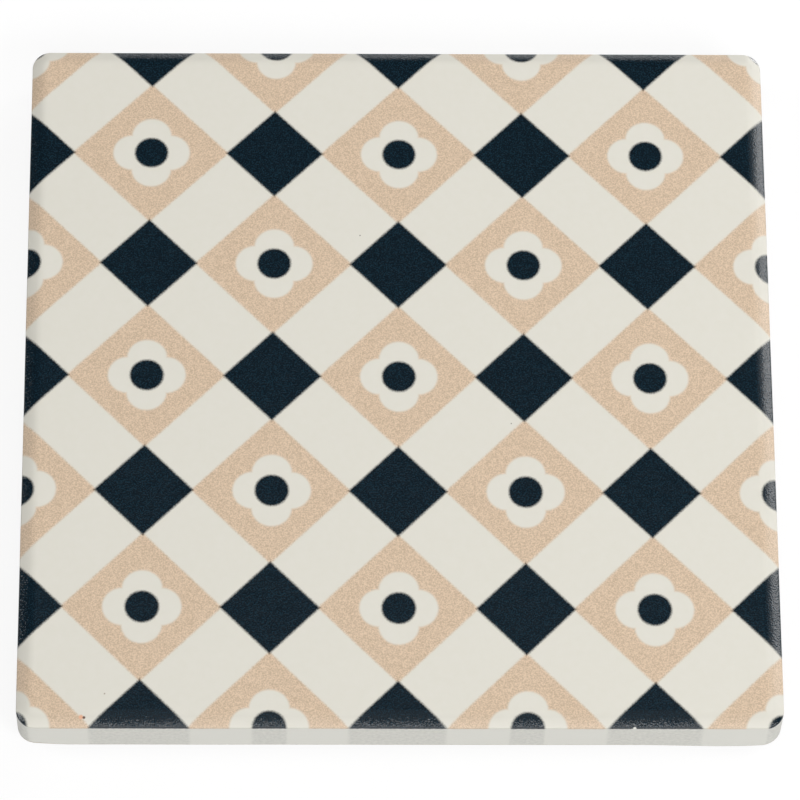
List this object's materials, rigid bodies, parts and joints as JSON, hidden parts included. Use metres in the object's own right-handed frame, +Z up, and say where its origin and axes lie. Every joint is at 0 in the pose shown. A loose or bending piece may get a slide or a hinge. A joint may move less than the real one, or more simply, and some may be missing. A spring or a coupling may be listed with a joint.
{
  "type": "ceramic coaster",
  "caption": "Square glazed ceramic tile with a sloped shoulder and rounded corners and a glued sheet of cork under it, for standing a cup or glass on a table.",
  "frame": {"origin": "on the table, under the middle of the cork backing", "axes": "+Z up out of the printed face, +X to the right and +Y away from the viewer, square to the tile's sides"},
  "size_m": [0.1, 0.1, 0.0087],
  "materials": {
    "glazed_tile": "satin glaze over pale earthenware, printed in navy and sand, bare biscuit on the back",
    "glue_film": "thin pale glue film",
    "cork_sheet": "sanded sheet of pressed cork granules"
  },
  "bodies": {
    "root": {"ceramic_tile": "glazed_tile", "adhesive_film": "glue_film", "cork_backing": "cork_sheet"}
  },
  "joints": []
}
